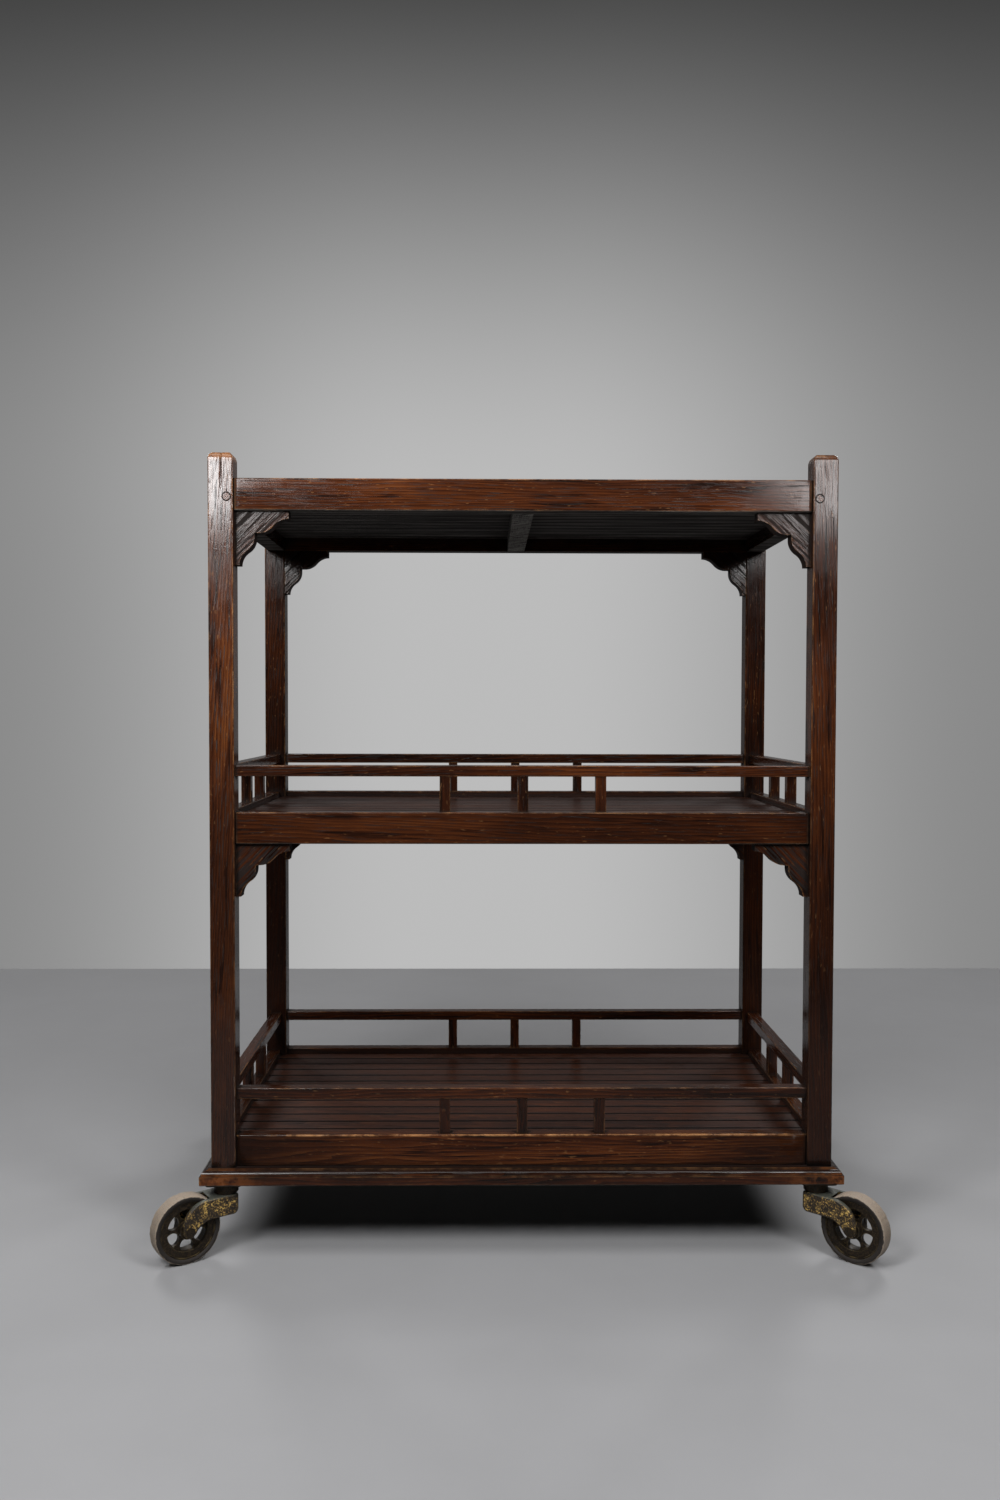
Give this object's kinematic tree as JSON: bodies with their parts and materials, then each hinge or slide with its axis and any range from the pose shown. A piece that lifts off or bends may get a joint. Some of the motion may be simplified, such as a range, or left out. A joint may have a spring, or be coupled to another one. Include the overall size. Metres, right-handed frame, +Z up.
{
  "type": "serving trolley",
  "caption": "Wooden serving trolley: slatted trays between square posts, low galleries, shaped corner brackets, moulded base and swivel casters with spoked wheels.",
  "frame": {"origin": "on the floor, under the middle of the trolley", "axes": "+Z up, +X along the trolley's length to the right as seen from the front, +Y from front to back"},
  "size_m": [0.8358, 0.491, 0.9135],
  "materials": {
    "oak_posts": "dark oak, french polished, worn arrises",
    "oak_rails": "dark oak, french polished, worn arrises",
    "oak_boards": "dark oak, polished, dulled by use",
    "oak_batten": "unpolished sawn oak, grey with age",
    "oak_gallery": "dark oak, french polished",
    "oak_brackets": "dark oak, french polished",
    "oak_base": "dark oak, french polished, worn at the corners",
    "caster_brass": "cast brass, dark mottled patina",
    "caster_iron": "blackened iron",
    "screw_steel": "dull aged steel",
    "wheel_iron": "black cast iron with rubbed edges",
    "tyre_rubber": "hard black rubber with a dusty worn tread"
  },
  "bodies": {
    "frame": {"post_front_left": "oak_posts", "post_front_right": "oak_posts", "post_back_left": "oak_posts", "post_back_right": "oak_posts", "lower_front_rail": "oak_rails", "lower_back_rail": "oak_rails", "lower_left_rail": "oak_rails", "lower_right_rail": "oak_rails", "lower_boards": "oak_boards", "lower_cross_batten": "oak_batten", "middle_front_rail": "oak_rails", "middle_back_rail": "oak_rails", "middle_left_rail": "oak_rails", "middle_right_rail": "oak_rails", "middle_boards": "oak_boards", "middle_cross_batten": "oak_batten", "top_front_rail": "oak_rails", "top_back_rail": "oak_rails", "top_left_rail": "oak_rails", "top_right_rail": "oak_rails", "top_boards": "oak_boards", "top_cross_batten": "oak_batten", "middle_front_handrail": "oak_gallery", "middle_back_handrail": "oak_gallery", "middle_left_handrail": "oak_gallery", "middle_right_handrail": "oak_gallery", "middle_spindles": "oak_gallery", "lower_front_handrail": "oak_gallery", "lower_back_handrail": "oak_gallery", "lower_left_handrail": "oak_gallery", "lower_right_handrail": "oak_gallery", "lower_spindles": "oak_gallery", "top_brackets": "oak_brackets", "middle_brackets": "oak_brackets", "joint_pegs": "oak_posts", "base_front_moulding": "oak_base", "base_back_moulding": "oak_base", "base_left_moulding": "oak_base", "base_right_moulding": "oak_base", "caster_plates": "caster_iron", "caster_kingpins": "caster_iron", "caster_screws": "screw_steel"},
    "front_left_caster": {"front_left_fork": "caster_brass", "front_left_axle": "caster_iron"},
    "front_left_roller": {"front_left_wheel": "wheel_iron", "front_left_tyre": "tyre_rubber"},
    "front_right_caster": {"front_right_fork": "caster_brass", "front_right_axle": "caster_iron"},
    "front_right_roller": {"front_right_wheel": "wheel_iron", "front_right_tyre": "tyre_rubber"},
    "back_left_caster": {"back_left_fork": "caster_brass", "back_left_axle": "caster_iron"},
    "back_left_roller": {"back_left_wheel": "wheel_iron", "back_left_tyre": "tyre_rubber"},
    "back_right_caster": {"back_right_fork": "caster_brass", "back_right_axle": "caster_iron"},
    "back_right_roller": {"back_right_wheel": "wheel_iron", "back_right_tyre": "tyre_rubber"}
  },
  "joints": [
    {"name": "front_left_swivel", "type": "hinge", "parent": "frame", "child": "front_left_caster", "pos_m": [-0.341, -0.182, 0.0705], "axis": [0, 0, 1], "continuous": true},
    {"name": "front_left_spin", "type": "hinge", "parent": "front_left_caster", "child": "front_left_roller", "pos_m": [-0.38162, -0.2094, 0.0385], "axis": [0.5592, -0.829, 0], "continuous": true},
    {"name": "front_right_swivel", "type": "hinge", "parent": "frame", "child": "front_right_caster", "pos_m": [0.341, -0.182, 0.0705], "axis": [0, 0, 1], "continuous": true},
    {"name": "front_right_spin", "type": "hinge", "parent": "front_right_caster", "child": "front_right_roller", "pos_m": [0.37798, -0.21415, 0.0385], "axis": [0.6561, 0.7547, 0], "continuous": true},
    {"name": "back_left_swivel", "type": "hinge", "parent": "frame", "child": "back_left_caster", "pos_m": [-0.341, 0.182, 0.0705], "axis": [0, 0, 1], "continuous": true},
    {"name": "back_left_spin", "type": "hinge", "parent": "back_left_caster", "child": "back_left_roller", "pos_m": [-0.37798, 0.21415, 0.0385], "axis": [-0.6561, -0.7547, 0], "continuous": true},
    {"name": "back_right_swivel", "type": "hinge", "parent": "frame", "child": "back_right_caster", "pos_m": [0.341, 0.182, 0.0705], "axis": [0, 0, 1], "continuous": true},
    {"name": "back_right_spin", "type": "hinge", "parent": "back_right_caster", "child": "back_right_roller", "pos_m": [0.38162, 0.2094, 0.0385], "axis": [-0.5592, 0.829, 0], "continuous": true}
  ]
}
